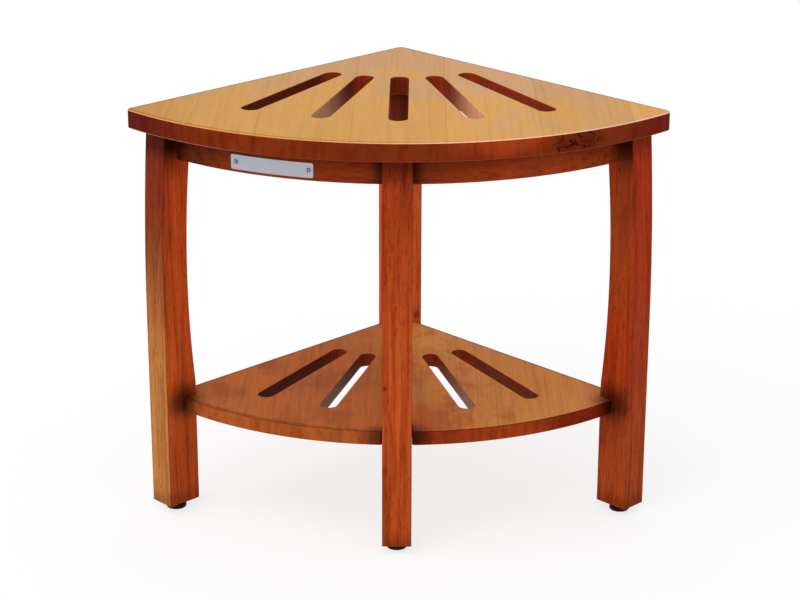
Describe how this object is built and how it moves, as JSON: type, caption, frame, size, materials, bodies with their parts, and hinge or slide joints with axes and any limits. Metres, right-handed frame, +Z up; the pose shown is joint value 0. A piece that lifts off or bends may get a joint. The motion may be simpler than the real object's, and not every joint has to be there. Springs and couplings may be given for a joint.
{
  "type": "corner shower bench",
  "caption": "Quarter-round wooden bench for a shower corner, with a slotted seat, a slotted lower shelf, bowed legs, curved front aprons and screw-in levelling feet.",
  "frame": {"origin": "on the floor, under the middle of the bench's bounding box", "axes": "+Z up, +Y towards the room corner that the bench stands in, -Y towards its curved front, +X to the right when facing the front of the bench from the room"},
  "size_m": [0.5744, 0.4166, 0.462],
  "materials": {
    "seat_wood": "honey-brown stained teak with a satin clear coat",
    "shelf_wood": "brown stained teak with a satin clear coat",
    "leg_wood": "red-brown stained teak with a satin clear coat",
    "apron_wood": "dark red-brown stained teak with a satin clear coat",
    "dowel_wood": "plain beech",
    "screw_steel": "stainless steel",
    "plate_steel": "brushed stainless steel, bare",
    "insert_brass": "plain brass",
    "stud_steel": "zinc-plated steel",
    "pad_rubber": "black moulded rubber"
  },
  "bodies": {
    "root": {"seat_top": "seat_wood", "shelf": "shelf_wood", "back_leg": "leg_wood", "left_leg": "leg_wood", "right_leg": "leg_wood", "front_leg": "leg_wood", "left_back_apron": "apron_wood", "right_back_apron": "apron_wood", "left_front_apron": "apron_wood", "right_front_apron": "apron_wood", "apron_dowels": "dowel_wood", "apron_screws": "screw_steel", "shelf_screws": "screw_steel", "seat_screws": "screw_steel", "bare_plate": "plate_steel", "plate_screws": "screw_steel", "foot_inserts": "insert_brass"},
    "back_foot": {"back_foot_pad": "pad_rubber", "back_foot_stud": "stud_steel"},
    "left_foot": {"left_foot_pad": "pad_rubber", "left_foot_stud": "stud_steel"},
    "right_foot": {"right_foot_pad": "pad_rubber", "right_foot_stud": "stud_steel"},
    "front_foot": {"front_foot_pad": "pad_rubber", "front_foot_stud": "stud_steel"}
  },
  "joints": [
    {"name": "back_foot_level", "type": "slide", "parent": "root", "child": "back_foot", "axis": [0, 0, -1], "range_m": [0, 0.008]},
    {"name": "left_foot_level", "type": "slide", "parent": "root", "child": "left_foot", "axis": [0, 0, -1], "range_m": [0, 0.008]},
    {"name": "right_foot_level", "type": "slide", "parent": "root", "child": "right_foot", "axis": [0, 0, -1], "range_m": [0, 0.008]},
    {"name": "front_foot_level", "type": "slide", "parent": "root", "child": "front_foot", "axis": [0, 0, -1], "range_m": [0, 0.008]}
  ]
}
